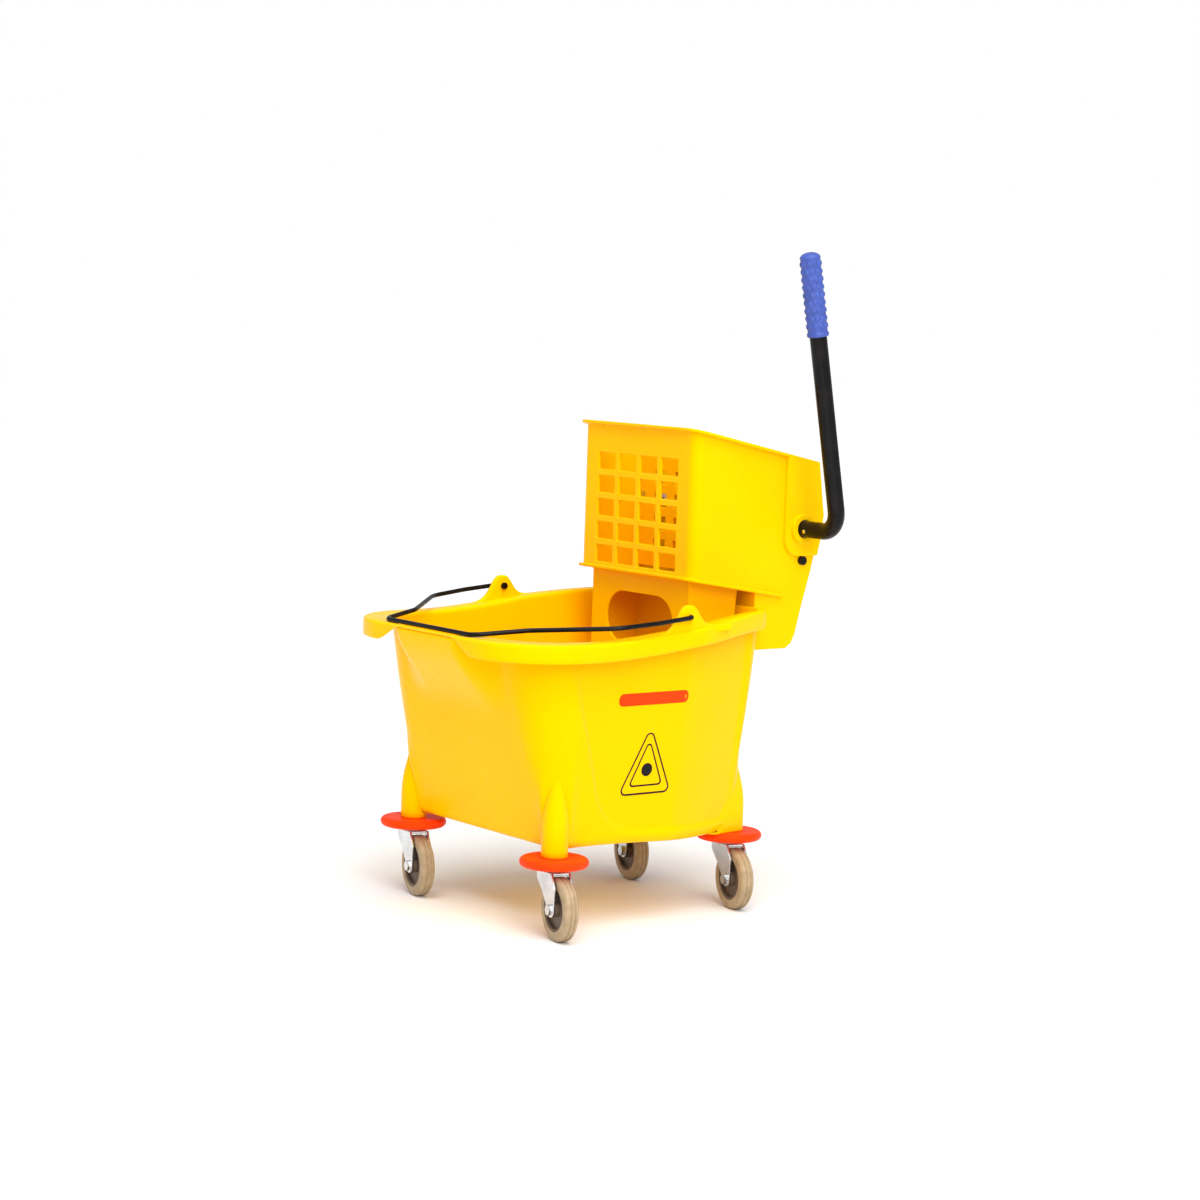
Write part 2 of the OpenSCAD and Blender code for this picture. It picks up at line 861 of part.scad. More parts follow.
module rear_cover()
{
    lid_y = shaft_y - 20;
    color(yellow)
        difference()
        {
            slab_x(-cover_half_w, cover_half_w)
            {
                polygon(concat(rear_line(), shift_forward(rear_line(), cover_t)));
                polygon([
                    [lid_y, top_at(lid_y)], [rear_x - 10, top_at(rear_x - 10)],
                    [rear_x - 10, top_at(rear_x - 10) - cover_t], [lid_y, top_at(lid_y) - cover_t]]);
            }
            at_screws()
            {
                cylinder(h = 20, d = screw_d);
                translate([0, 0, -20])
                    cylinder(h = 20, d = 2 * screw_d + 1);
            }
            // Everything stays under the outer line of the housing.
            difference()
            {
                translate([-far, lid_y - 100, skirt_bottom - 50])
                    cube([2 * far, 300, 400]);
                slab_x(-far - 1, far + 1)
                    side_outline();
            }
        }
}

module cover_screws()
{
    color(zinc)
        at_screws()
        {
            translate([0, 0, -2.2])
                cylinder(h = 2.2, d = 2 * screw_d);
            translate([0, 0, -1])
                cylinder(h = cover_t + block_gap + block_len - 4, d = screw_d);
        }
}

module tie_rod()
{
    color(black)
        translate([0, rod_y, rod_z])
            rotate([0, 90, 0])
            {
                translate([0, 0, -basket_half_w])
                    cylinder(h = 2 * basket_half_w, d = rod_d);
                for (s = [-1, 1])
                    translate([0, 0, s > 0 ? basket_half_w : -basket_half_w - 5])
                        cylinder(h = 5, d = rod_head);
            }
}

/* ---------- Shaft, bushes and springs ---------- */

bush_r = 14;
bush_flange = 16.5;
boss_x = cheek_x + 6;
bush_end = boss_x - 2.5;           // a lip of the boss keeps each bush in
tube_start = basket_in - 3;        // the lever tube begins just inside the wall
shaft_left = -basket_half_w - 4;
shaft_right = basket_half_w + 30;

module shaft_bush(s)
{
    inner = s > 0 ? lever_d / 2 : shaft_d / 2;
    color(white)
        translate([0, shaft_y, shaft_z])
            rotate([0, s * 90, 0])
                difference()
                {
                    union()
                    {
                        translate([0, 0, basket_in])
                            cylinder(h = bush_end - basket_in, r = bush_r);
                        translate([0, 0, basket_in - 2])
                            cylinder(h = 2, r = bush_flange);
                    }
                    translate([0, 0, basket_in - 5])
                        cylinder(h = boss_x - basket_in + 10, r = inner + running_fit);
                }
}

/* One ring of the wire at an angle round the coil, moved down along the tail. */
function spring_ring(x, a, down) =
    [for (k = [0 : spring_sides - 1])
        let (b = 360 * k / spring_sides, r = spring_r + spring_wire_r * cos(b))
        [x + spring_wire_r * sin(b), r * cos(a), r * sin(a) - down]];

/* One closed skin swept down a straight tail and round the coil. */
module coil_spring()
{
    count = spring_turns * spring_steps;
    rings = concat(
        [spring_ring(0, 0, spring_tail)],
        [for (i = [0 : count]) spring_ring(spring_pitch * i / spring_steps, 360 * i / spring_steps, 0)]);
    points = [for (ring = rings) for (p = ring) p];
    last = len(points) - spring_sides;
    walls = [for (i = [0 : len(rings) - 2]) for (k = [0 : spring_sides - 1])
        let (a = i * spring_sides + k, b = i * spring_sides + (k + 1) % spring_sides)
        [a, a + spring_sides, b + spring_sides, b]];
    polyhedron(
        points = points,
        faces = concat(
            walls,
            [[for (k = [0 : spring_sides - 1]) k]],
            [[for (k = [spring_sides - 1 : -1 : 0]) last + k]]));
}

module return_spring(s)
{
    color(zinc)
        translate([s > 0 ? spring_x : -spring_x - spring_turns * spring_pitch, shaft_y, shaft_z])
            coil_spring();
}

/* ---------- Press plate, racks and pinions ---------- */

pitch_r = gear_module * pinion_teeth / 2;
addendum = gear_module * 0.9;
dedendum = gear_module * 1.15;
backlash = 0.25;
pressure = 20;
pinion_w = 12;
rack_x = basket_half_w - 19;       // middle of each rack and pinion across the wringer
spring_x = rack_x - 38;
plate_rear = shaft_y - 75;
plate_t = 8;
plate_half_w = basket_in - 2.5;
plate_bottom = floor_at(plate_rear - 60) + basket_wall + 2;
rack_pitch_z = shaft_z + pitch_r;
rack_top = rack_pitch_z + dedendum + 8;
rack_rear = rear_x - 9;
ledge_y = plate_rear + 36;         // the ledges start behind the plate's travel
ledge_len = rear_x - plate_rear - 50;
plate_screw_z = rack_top - 4;
screw_d = 4;

module press_plate()
{
    top = top_at(plate_rear) - 10;
    pitch_x = (plate_half_w - 26.5) / 2;
    hole_w = pitch_x * 0.6;
    pitch_z = 29;
    color(yellow)
        difference()
        {
            union()
            {
                translate([-plate_half_w, plate_rear - plate_t, plate_bottom])
                    cube([2 * plate_half_w, plate_t, top - plate_bottom]);
                // Ribs across the back.
                for (z = [plate_bottom, top - 6])
                    translate([-plate_half_w + 18, plate_rear - eps, z])
                        cube([2 * plate_half_w - 36, 8, 6]);
            }
            for (row = [0 : 3])
                for (column = [-1.5 : 1 : 1.5])
                    translate([
                        column * pitch_x - hole_w / 2,
                        plate_rear - plate_t - 1,
                        plate_bottom + 18 + row * pitch_z])
                        cube([hole_w, plate_t + 2, 17]);
            for (s = [-1, 1])
                translate([s * rack_x, plate_rear - plate_t - 1, plate_screw_z])
                    rotate([-90, 0, 0])
                        cylinder(h = plate_t + 2, d = screw_d);
        }
}

/* Rack teeth point down; a tooth gap stands over the shaft at rest. */
module rack_teeth()
{
    pitch = PI * gear_module;
    half = pitch / 4 - backlash / 2;
    slant = tan(pressure);
    for (i = [-8 : 5])
    {
        c = shaft_y + (i + 0.5) * pitch;
        if (c - pitch / 2 > plate_rear && c + pitch / 2 < rack_rear)
            polygon([
                [c - half - slant * dedendum, rack_pitch_z + dedendum + eps],
                [c - half + slant * addendum, rack_pitch_z - addendum],
                [c + half - slant * addendum, rack_pitch_z - addendum],
                [c + half + slant * dedendum, rack_pitch_z + dedendum + eps]]);
    }
}

module rack(s)
{
    color(white)
        difference()
        {
            slab_x(s * rack_x - 6, s * rack_x + 6)
            {
                rack_teeth();
                translate([plate_rear, rack_pitch_z + dedendum])
                    square([rack_rear - plate_rear, rack_top - rack_pitch_z - dedendum]);
            }
            translate([s * rack_x, plate_rear - 1, plate_screw_z])
                rotate([-90, 0, 0])
                    cylinder(h = 16, d = screw_d);
        }
}

module rack_screws()
{
    color(zinc)
        for (s = [-1, 1])
            translate([s * rack_x, plate_rear - plate_t, plate_screw_z])
                rotate([-90, 0, 0])
                {
                    translate([0, 0, -2])
                        cylinder(h = 2, d = 2 * screw_d);
                    translate([0, 0, -1])
                        cylinder(h = plate_t + 14, d = screw_d);
                }
}

/* Involute flank: angle turned from the base circle out to radius r. */
function involute(base, r) = let (t = sqrt(max(0, pow(r / base, 2) - 1))) t * 180 / PI - atan(t);

function pinion_tooth(middle) =
    let (
        base = pitch_r * cos(pressure),
        root = pitch_r - dedendum,
        tip = pitch_r + addendum,
        half = 90 / pinion_teeth - backlash / 2 / pitch_r * 180 / PI + involute(base, pitch_r),
        radii = [for (k = [0 : 5]) max(base, root) + (tip - max(base, root)) * k / 5],
        rise = [for (r = radii) [r, half - involute(base, r)]])
    concat(
        [root * [cos(middle - half), sin(middle - half)]],
        [for (p = rise) p[0] * [cos(middle - p[1]), sin(middle - p[1])]],
        [for (k = [5 : -1 : 0]) rise[k][0] * [cos(middle + rise[k][1]), sin(middle + rise[k][1])]],
        [root * [cos(middle + half), sin(middle + half)]]);

module pinion(s)
{
    color(white)
        translate([s * rack_x - pinion_w / 2, shaft_y, shaft_z])
            rotate([90, 0, 90])
                difference()
                {
                    union()
                    {
                        linear_extrude(pinion_w)
                            polygon([for (i = [0 : pinion_teeth - 1])
                                for (p = pinion_tooth(90 + i * 360 / pinion_teeth)) p]);
                        translate([0, 0, s > 0 ? -8 : pinion_w - eps])
                            cylinder(h = 8 + eps, r = 13);
                    }
                    translate([0, 0, -20])
                        cylinder(h = pinion_w + 40, d = shaft_d);
                }
}

module drive_shaft()
{
    color(zinc)
        lever_place()
            translate([shaft_left, 0, 0])
                rotate([0, 90, 0])
                    difference()
                    {
                        cylinder(h = shaft_right - shaft_left, d = shaft_d);
                        translate([0, 0, lever_pin_x - shaft_left])
                            rotate([90, 0, 0])
                                translate([0, 0, -20])
                                    cylinder(h = 40, d = pin_d);
                    }
}

/* ---------- Lever ---------- */

lever_x = basket_half_w + lever_out;
bend_r = 28;
lever_pin_x = basket_half_w + 22;
pin_d = 5;
tube_end = lever_reach - 8;

module lever_path(d)
{
    translate([tube_start - (d < lever_d ? 1 : 0), 0, 0])
        rotate([0, 90, 0])
            cylinder(h = lever_x - bend_r - tube_start + (d < lever_d ? 1 : 0), d = d);
    translate([lever_x - bend_r, 0, bend_r])
        rotate([90, 0, 0])
            rotate([0, 0, -90])
                rotate_extrude(angle = 90, $fn = 96)
                    translate([bend_r, 0])
                        circle(d = d);
    translate([lever_x, 0, bend_r])
        cylinder(h = tube_end - bend_r + (d < lever_d ? 1 : 0), d = d);
}

module lever_place()
{
    translate([0, shaft_y, shaft_z])
        rotate([lever_lean, 0, 0])
            children();
}

module lever_tube()
{
    color(black)
        lever_place()
            difference()
            {
                lever_path(lever_d);
                lever_path(shaft_d);
                translate([lever_pin_x, 20, 0])
                    rotate([90, 0, 0])
                        cylinder(h = 40, d = pin_d);
            }
}

module lever_pin()
{
    color(zinc)
        lever_place()
            translate([lever_pin_x, 0, 0])
                rotate([90, 0, 0])
                    translate([0, 0, -lever_d / 2 - 1])
                        cylinder(h = lever_d + 2, d = pin_d);
}

module lever_grip()
{
    color(grip_blue)
        lever_place()
            translate([lever_x, 0, lever_reach - grip_len])
                difference()
                {
                    union()
                    {
                        cylinder(h = grip_len - 4, d = grip_d);
                        translate([0, 0, grip_len - 4])
                            cylinder(h = 4, d1 = grip_d, d2 = grip_d - 7);
                        cylinder(h = 5, d = grip_d + 2);
                    }
                    translate([0, 0, -1])
                        cylinder(h = grip_len - 7, d = lever_d);
                }
}

/* ---------- Assembly ---------- */

bucket();
bail_handle();
for (i = [0 : 3])
{
    bumper(i);
    caster_stem(i);
    caster_fork(i);
    axle_bolt(i);
    axle_nut(i);
    wheel_core(i);
    wheel_tyre(i);
}
wringer_frame();
rear_cover();
cover_screws();
tie_rod();
press_plate();
rack_screws();
drive_shaft();
for (s = [-1, 1])
{
    shaft_bush(s);
    return_spring(s);
    rack(s);
    pinion(s);
}
lever_tube();
lever_pin();
lever_grip();
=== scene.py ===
import json
import math

import bmesh
import bpy
import numpy as np
from mathutils import Matrix, Vector
from mathutils.bvhtree import BVHTree


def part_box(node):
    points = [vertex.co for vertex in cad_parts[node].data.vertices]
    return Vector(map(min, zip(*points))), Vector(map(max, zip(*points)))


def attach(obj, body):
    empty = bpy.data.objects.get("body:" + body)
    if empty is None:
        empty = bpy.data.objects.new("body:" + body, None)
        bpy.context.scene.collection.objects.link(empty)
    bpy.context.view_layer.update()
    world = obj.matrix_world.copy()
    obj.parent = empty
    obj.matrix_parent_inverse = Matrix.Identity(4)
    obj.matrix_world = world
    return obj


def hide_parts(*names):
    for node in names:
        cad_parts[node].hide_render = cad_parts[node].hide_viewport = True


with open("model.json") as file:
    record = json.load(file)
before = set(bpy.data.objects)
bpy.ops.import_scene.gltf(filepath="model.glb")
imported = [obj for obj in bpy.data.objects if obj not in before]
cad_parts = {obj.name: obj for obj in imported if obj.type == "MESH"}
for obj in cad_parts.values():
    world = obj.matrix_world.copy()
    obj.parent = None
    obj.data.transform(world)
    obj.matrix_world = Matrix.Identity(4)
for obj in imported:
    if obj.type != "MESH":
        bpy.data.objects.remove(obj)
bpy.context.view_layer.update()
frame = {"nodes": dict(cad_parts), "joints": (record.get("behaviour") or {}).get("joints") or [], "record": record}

# All shapes below are worked out in millimetres and scaled to metres when a mesh is made.
MM = 0.001
JOINTS = {j["name"]: j for j in frame["joints"]}


def mm_box(node):
    """Lowest and highest corner of a CAD node, in millimetres."""
    low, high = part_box(node)
    return low / MM, high / MM


# ---------- Driving sizes, read from the frame ----------

PIVOT = Vector(JOINTS["bail_swing"]["pos_m"]) / MM          # the bail's axis through the ears
SHAFT = Vector(JOINTS["lever_swing"]["pos_m"]) / MM         # the lever's axis
BUCKET_LOW, BUCKET_HIGH = mm_box("bucket")
HALF_W = BUCKET_HIGH.x
FRONT = -BUCKET_LOW.y
REAR = BUCKET_HIGH.y
LEG_Z = BUCKET_LOW.z
EAR_TOP = BUCKET_HIGH.z
EAR_Y = PIVOT.y
RIM_Z = PIVOT.z - 26                                        # the rim's top face at the pouring end
RIM_RISE = 24                                               # how much higher it is at the wringer
RAMP = (EAR_Y - 138, REAR - 2)                              # the rim climbs between these places
FLOOR_Z = LEG_Z + 7
LEG_R = 16
REAR_LEG_SWELL = 1.5                                        # the rear legs are a little thicker
LEG_TAPER = 118                                             # height above its foot where a leg ends
CORNERS = ("fl", "fr", "rl", "rr")
CASTERS = {c: Vector(JOINTS["swivel_turn_" + c]["pos_m"]) / MM for c in CORNERS}

REAR_HALF_W = HALF_W - 33.5
REAR_CORNER = 40
RIM_CORNER = 95
TOP_CORNER = 80                                             # the walls' corners where they meet the rim
TOP_REAR_CORNER = 32
FLOOR_HALF_W = HALF_W - 46.5
FLOOR_REAR_HALF_W = REAR_HALF_W - 38
FLOOR_FRONT = FRONT - 93
FLOOR_REAR = REAR - 27
FLOOR_EDGE = 12
FLOOR_CORNER = 23
FLOOR_SAG = 5.5                                             # the floor hangs lower at the rear
SAG_RANGE = (-110, 80)                                      # where along Y the sag grows
SAG_FADE = 70                                               # height up the wall where it is gone
WALL = 3.6
BELLY = 2.6
LIP = 22
SPOUT_LIP = 3.0                                             # the lip is thin across the spout
RIM_ROUND = 4.5
OVERHANG = 20
FRONT_OVERHANG = 31
REAR_SIDE_OVERHANG = 12
REAR_OVERHANG = 5
TOP_Z = RIM_Z + RIM_RISE
SPOUT_HALF_W = 80
SPOUT_DROP = 105
MIDDLE_Y = (REAR - FRONT) / 2
WALL_RINGS = 90                                             # rows of faces up each side of the walls


# ---------- Small helpers ----------

def smooth(t):
    """Ease from 0 to 1, with level ends."""
    t = np.clip(t, 0, 1)
    return t * t * (3 - 2 * t)


def mix(a, b, t):
    return a + (b - a) * t


def make_object(name, verts, faces, smooth_angle=40):
    """A mesh object from points in millimetres, smooth where its faces meet at less than the angle."""
    mesh = bpy.data.meshes.new(name)
    mesh.from_pydata([tuple(float(c) * MM for c in v) for v in verts], [], faces)
    mesh.validate()
    bm = bmesh.new()
    bm.from_mesh(mesh)
    bmesh.ops.remove_doubles(bm, verts=bm.verts, dist=1e-6)
    bmesh.ops.recalc_face_normals(bm, faces=bm.faces)
    bm.to_mesh(mesh)
    bm.free()
    piece = bpy.data.objects.new(name, mesh)
    bpy.context.scene.collection.objects.link(piece)
    shade(piece, smooth_angle)
    return piece


def shade(piece, angle):
    mesh = piece.data
    mesh.polygons.foreach_set("use_smooth", [True] * len(mesh.polygons))
    mesh.set_sharp_from_angle(angle=math.radians(angle))


def loft(rings, closed_path=False):
    """Quads between closed rings that have the same number of points."""
    count = len(rings[0])
    faces = []
    last = len(rings) if closed_path else len(rings) - 1
    for r in range(last):
        a, b = r * count, ((r + 1) % len(rings)) * count
        for i in range(count):
            j = (i + 1) % count
            faces.append((a + i, a + j, b + j, b + i))
    return faces


def capped_loft(rings):
    """A closed skin: quads between the rings and a face over each end."""
    count = len(rings[0])
    faces = loft(rings)
    faces.append(tuple(range(count)))
    faces.append(tuple(range((len(rings) - 1) * count, len(rings) * count)))
    return faces


def points_of(rings):
    return [p for ring in rings for p in ring]


def refined(node, name, width, angle=30, segments=2, smooth_angle=40):
    """A copy of a CAD piece with its sharp edges rounded, as moulded and pressed parts are."""
    mesh = frame["nodes"][node].data.copy()
    mesh.name = name
    mesh.materials.clear()
    bm = bmesh.new()
    bm.from_mesh(mesh)
    bmesh.ops.remove_doubles(bm, verts=bm.verts, dist=2e-6)
    bmesh.ops.dissolve_limit(bm, angle_limit=math.radians(0.5), verts=bm.verts, edges=bm.edges)
    sharp = [e for e in bm.edges if len(e.link_faces) == 2 and e.calc_face_angle(0) > math.radians(angle)]
    bmesh.ops.bevel(
        bm, geom=sharp, offset=width * MM, offset_type="OFFSET", segments=segments,
        profile=0.5, affect="EDGES", clamp_overlap=False, loop_slide=True)
    bm.to_mesh(mesh)
    bm.free()
    piece = bpy.data.objects.new(name, mesh)
    bpy.context.scene.collection.objects.link(piece)
    shade(piece, smooth_angle)
    normals = piece.modifiers.new("normals", "WEIGHTED_NORMAL")
    normals.keep_sharp = True
    return piece


# ---------- Materials ----------

def new_material(name):
    material = bpy.data.materials.new(name)
    material.use_nodes = True
    nodes = material.node_tree.nodes
    return material, nodes, material.node_tree.links, nodes["Principled BSDF"]


def noise(nodes, links, scale, detail=4.0, roughness=0.55, stretch=None):
    """Noise in object space, the same from every side."""
    place = nodes.new("ShaderNodeTexCoord")
    texture = nodes.new("ShaderNodeTexNoise")
    texture.inputs["Scale"].default_value = scale
    texture.inputs["Detail"].default_value = detail
    texture.inputs["Roughness"].default_value = roughness
    if stretch:
        mapping = nodes.new("ShaderNodeMapping")
        mapping.inputs["Scale"].default_value = stretch
        links.new(place.outputs["Object"], mapping.inputs["Vector"])
        links.new(mapping.outputs["Vector"], texture.inputs["Vector"])
    else:
        links.new(place.outputs["Object"], texture.inputs["Vector"])
    return texture.outputs["Fac"]


def ramp(nodes, links, value, stops):
    node = nodes.new("ShaderNodeValToRGB")
    while len(node.color_ramp.elements) < len(stops):
        node.color_ramp.elements.new(0.5)
    for element, (place, colour) in zip(node.color_ramp.elements, stops):
        element.position = place
        element.color = (*colour, 1)
    links.new(value, node.inputs["Fac"])
    return node.outputs["Color"]


def levels(nodes, links, value, low, high):
    node = nodes.new("ShaderNodeMapRange")
    node.inputs["From Min"].default_value = 0.3
    node.inputs["From Max"].default_value = 0.7
    node.inputs["To Min"].default_value = low
    node.inputs["To Max"].default_value = high
    links.new(value, node.inputs["Value"])
    return node.outputs["Result"]


def bump(nodes, links, height, strength, distance, under=None):
    node = nodes.new("ShaderNodeBump")
    node.inputs["Strength"].default_value = strength
    node.inputs["Distance"].default_value = distance
    links.new(height, node.inputs["Height"])
    if under:
        links.new(under, node.inputs["Normal"])
    return node.outputs["Normal"]


def shade_of(colour, share):
    return tuple(c * share for c in colour)


def plastic(name, colour, deep, roughness, grain=900, grain_depth=0.00006, specular=0.3, subsurface=0.0,
            tint=(1, 1, 1)):
    """Moulded plastic: slow colour change, uneven gloss, flow waviness and a fine grain."""
    material, nodes, links, shader = new_material(name)
    slow = noise(nodes, links, 9, 3)
    links.new(ramp(nodes, links, slow, [(0.3, deep), (0.7, colour)]), shader.inputs["Base Color"])
    patches = noise(nodes, links, 30, 5, 0.6)
    links.new(levels(nodes, links, patches, roughness * 0.82, roughness * 1.22), shader.inputs["Roughness"])
    wave = bump(nodes, links, noise(nodes, links, 14, 1), 0.12, 0.0006)
    fine = bump(nodes, links, noise(nodes, links, grain, 2), 0.25, grain_depth, wave)
    links.new(fine, shader.inputs["Normal"])
    shader.inputs["Specular IOR Level"].default_value = specular
    shader.inputs["Specular Tint"].default_value = (*tint, 1)
    if subsurface:
        shader.inputs["Subsurface Weight"].default_value = subsurface
        shader.inputs["Subsurface Radius"].default_value = (1.0, 0.45, 0.05)
        shader.inputs["Subsurface Scale"].default_value = 0.006
    return material


def metal(name, colour, roughness, brush=(1, 1, 40), dark=0.72):
    """Plated or drawn steel with brushed streaks, smudges and small scratches."""
    material, nodes, links, shader = new_material(name)
    streaks = noise(nodes, links, 60, 6, 0.7, brush)
    smudges = noise(nodes, links, 45, 4)
    links.new(ramp(nodes, links, smudges, [(0.25, shade_of(colour, dark)), (0.7, colour)]),
              shader.inputs["Base Color"])
    links.new(levels(nodes, links, streaks, roughness * 0.7, roughness * 1.4), shader.inputs["Roughness"])
    links.new(bump(nodes, links, streaks, 0.2, 0.00008), shader.inputs["Normal"])
    shader.inputs["Metallic"].default_value = 1.0
    return material


def paint(name, colour, worn, roughness):
    """Gloss paint with orange peel, dust and faint rubbed patches."""
    material, nodes, links, shader = new_material(name)
    rubbed = noise(nodes, links, 26, 8, 0.7)
    links.new(ramp(nodes, links, rubbed, [(0.45, colour), (0.75, worn)]), shader.inputs["Base Color"])
    links.new(levels(nodes, links, rubbed, roughness * 0.7, roughness * 1.6), shader.inputs["Roughness"])
    links.new(bump(nodes, links, noise(nodes, links, 500, 2), 0.3, 0.00005), shader.inputs["Normal"])
    shader.inputs["Specular IOR Level"].default_value = 0.14
    return material


def rubber(name, colour, dusty, roughness, grain=700):
    """Rubber with ground-in dust and a slightly pitted skin."""
    material, nodes, links, shader = new_material(name)
    dust = noise(nodes, links, 70, 8, 0.65)
    links.new(ramp(nodes, links, dust, [(0.35, dusty), (0.62, colour)]), shader.inputs["Base Color"])
    links.new(levels(nodes, links, dust, roughness * 1.15, roughness * 0.85), shader.inputs["Roughness"])
    links.new(bump(nodes, links, noise(nodes, links, grain, 4), 0.5, 0.00012), shader.inputs["Normal"])
    shader.inputs["Specular IOR Level"].default_value = 0.4
    return material


YELLOW = (1.0, 0.565, 0.0)
YELLOW_DEEP = (0.98, 0.54, 0.0)
MATERIALS = {
    "yellow_plastic": plastic("yellow_plastic", YELLOW, YELLOW_DEEP, 0.25, specular=0.08, subsurface=0.15,
                              tint=(1.0, 0.72, 0.03)),
    "bumper_orange": plastic("bumper_orange", (1.0, 0.055, 0.004), (0.95, 0.045, 0.003), 0.42, grain=600,
                             specular=0.2, tint=(1.0, 0.25, 0.05)),
    "wheel_core": plastic("wheel_core", (0.15, 0.105, 0.07), (0.105, 0.072, 0.048), 0.5, grain=500),
    "white_nylon": plastic("white_nylon", (0.80, 0.79, 0.74), (0.74, 0.72, 0.66), 0.45, subsurface=0.1),
    "zinc_steel": metal("zinc_steel", (0.74, 0.75, 0.77), 0.24),
    "spring_steel": metal("spring_steel", (0.40, 0.40, 0.42), 0.3),
    "black_steel": paint("black_steel", (0.004, 0.0035, 0.0035), (0.012, 0.010, 0.009), 0.12),
    "black_wire": paint("black_wire", (0.004, 0.0035, 0.004), (0.014, 0.012, 0.012), 0.25),
    "tyre_tan": rubber("tyre_tan", (0.45, 0.335, 0.20), (0.35, 0.25, 0.14), 0.55),
    "grip_blue": rubber("grip_blue", (0.055, 0.10, 0.42), (0.04, 0.075, 0.34), 0.42, grain=900),
}
SLOT_OF = {s["node"]: s["material_slot"] for s in frame["record"]["subparts"]}


def wear(piece, material):
    piece.data.materials.clear()
    piece.data.materials.append(MATERIALS[material])


def stand_for(piece, body, slot, *nodes):
    """A finished piece rides on its body, takes its slot's finish and hides the CAD nodes it stands for."""
    wear(piece, slot)
    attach(piece, body)
    if nodes:
        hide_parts(*nodes)
    return piece


# ---------- Bucket ----------

def straight(a, b, count):
    return [mix(np.array(a, float), np.array(b, float), k / count) for k in range(count)]


def arc(centre, radius, start, end, count):
    turns = [math.radians(mix(start, end, k / count)) for k in range(count)]
    return [np.array((centre[0] + radius * math.cos(t), centre[1] + radius * math.sin(t))) for t in turns]


def outline(hw, rear_hw, front, rear, r_front, r_rear):
    """Plan of the bucket. Every outline has the same number of points, which match from one to the next."""
    side_end = EAR_Y + 20
    turn = math.degrees(math.atan2(hw - rear_hw, rear - EAR_Y - REAR_CORNER))
    rear_centre = (rear_hw - r_rear, rear - r_rear)
    rear_arc = arc(rear_centre, r_rear, turn, 90, 14)
    right = straight((0, -front), (hw - r_front, -front), 30)
    right += arc((hw - r_front, -front + r_front), r_front, -90, 0, 20)
    right += straight((hw, -front + r_front), (hw, side_end), 66)
    for k in range(34):
        t = k / 34
        right.append(np.array((mix(hw, rear_arc[0][0], t ** 1.3), mix(side_end, rear_arc[0][1], t))))
    right += rear_arc
    right += straight((rear_hw - r_rear, rear), (0, rear), 12)
    right.append(np.array((0.0, rear)))
    left = [p * (-1, 1) for p in right[-2:0:-1]]
    return np.array(right + left)


def rim_outline(inset):
    return outline(HALF_W - inset, REAR_HALF_W - inset, FRONT - inset, REAR - inset,
                   RIM_CORNER - inset, REAR_CORNER - inset)


def floor_outline(inset):
    return outline(FLOOR_HALF_W - inset, FLOOR_REAR_HALF_W - inset, FLOOR_FRONT - inset, FLOOR_REAR - inset,
                   FLOOR_CORNER, FLOOR_CORNER)


def top_outline(inset):
    return outline(HALF_W - OVERHANG - inset, REAR_HALF_W - REAR_SIDE_OVERHANG - inset,
                   FRONT - FRONT_OVERHANG - inset, REAR - REAR_OVERHANG - inset,
                   TOP_CORNER - inset, TOP_REAR_CORNER - inset)


def rim_height(y):
    """Height of the rim's top face, which climbs gently from the pouring end to the wringer."""
    return RIM_Z + RIM_RISE * smooth((y - RAMP[0]) / (RAMP[1] - RAMP[0]))


def spout_share(points):
    """1 across the pouring spout, easing to 0 at its sides."""
    across = 1 - smooth((np.abs(points[:, 0]) - SPOUT_HALF_W * 0.66) / (SPOUT_HALF_W * 0.62))
    return across * (points[:, 1] < 0)


def panel_depth(points, z):
    """Each side has a shallow sunk panel, bounded by a crease in front and along the bottom."""
    depth, crease, corner, lean = 3.4, 6, 46, 0.32
    front_line = -160 + (310 - z) * lean
    into_front = (points[:, 1] - front_line) * 0.95
    into_bottom = z - (FLOOR_Z + 14)
    gap = np.hypot(np.maximum(corner - into_front, 0), np.maximum(corner - into_bottom, 0))
    inside = corner - gap
    into_rear = (REAR - 26) - points[:, 1]
    sunk = smooth((inside + 2) / crease) * smooth(into_rear / 14)
    sideways = np.clip((np.abs(points[:, 0]) - 105) / 14, 0, 1)
    return depth * sunk * sideways


def wall_ring(inset, z):
    """The wall's outline at the given heights, with its belly, side panels and pouring spout."""
    low, high = floor_outline(inset), top_outline(inset)
    t = np.clip((z - FLOOR_Z - FLOOR_EDGE) / (TOP_Z - FLOOR_Z - FLOOR_EDGE), 0, 1)[:, None]
    ring = mix(low, high, t)
    belly = BELLY * np.sin(math.pi * t) ** 1.2
    ring = ring * (1 + belly / 190)
    ring[:, 0] -= np.sign(ring[:, 0]) * panel_depth(ring, z)
    share = spout_share(ring) * smooth((z - (RIM_Z - SPOUT_DROP)) / SPOUT_DROP) ** 1.25
    edge = rim_outline(inset + 0.8)
    return mix(ring, edge, share[:, None])


def ring3(plan, z):
    z = np.broadcast_to(z, len(plan))
    return np.column_stack((plan, z))


def floor_sag(y):
    """The tub's floor hangs a little lower towards the rear."""
    return FLOOR_SAG * smooth((y - SAG_RANGE[0]) / (SAG_RANGE[1] - SAG_RANGE[0]))


def sag_left(z):
    """Share of the floor's sag that is left at a height on the wall."""
    return np.clip(1 - (z - FLOOR_Z) / SAG_FADE, 0, 1)


def settled(ring):
    """Lowers a ring by the floor's sag, which dies away up the wall."""
    ring[:, 2] -= floor_sag(ring[:, 1]) * sag_left(ring[:, 2])
    return ring


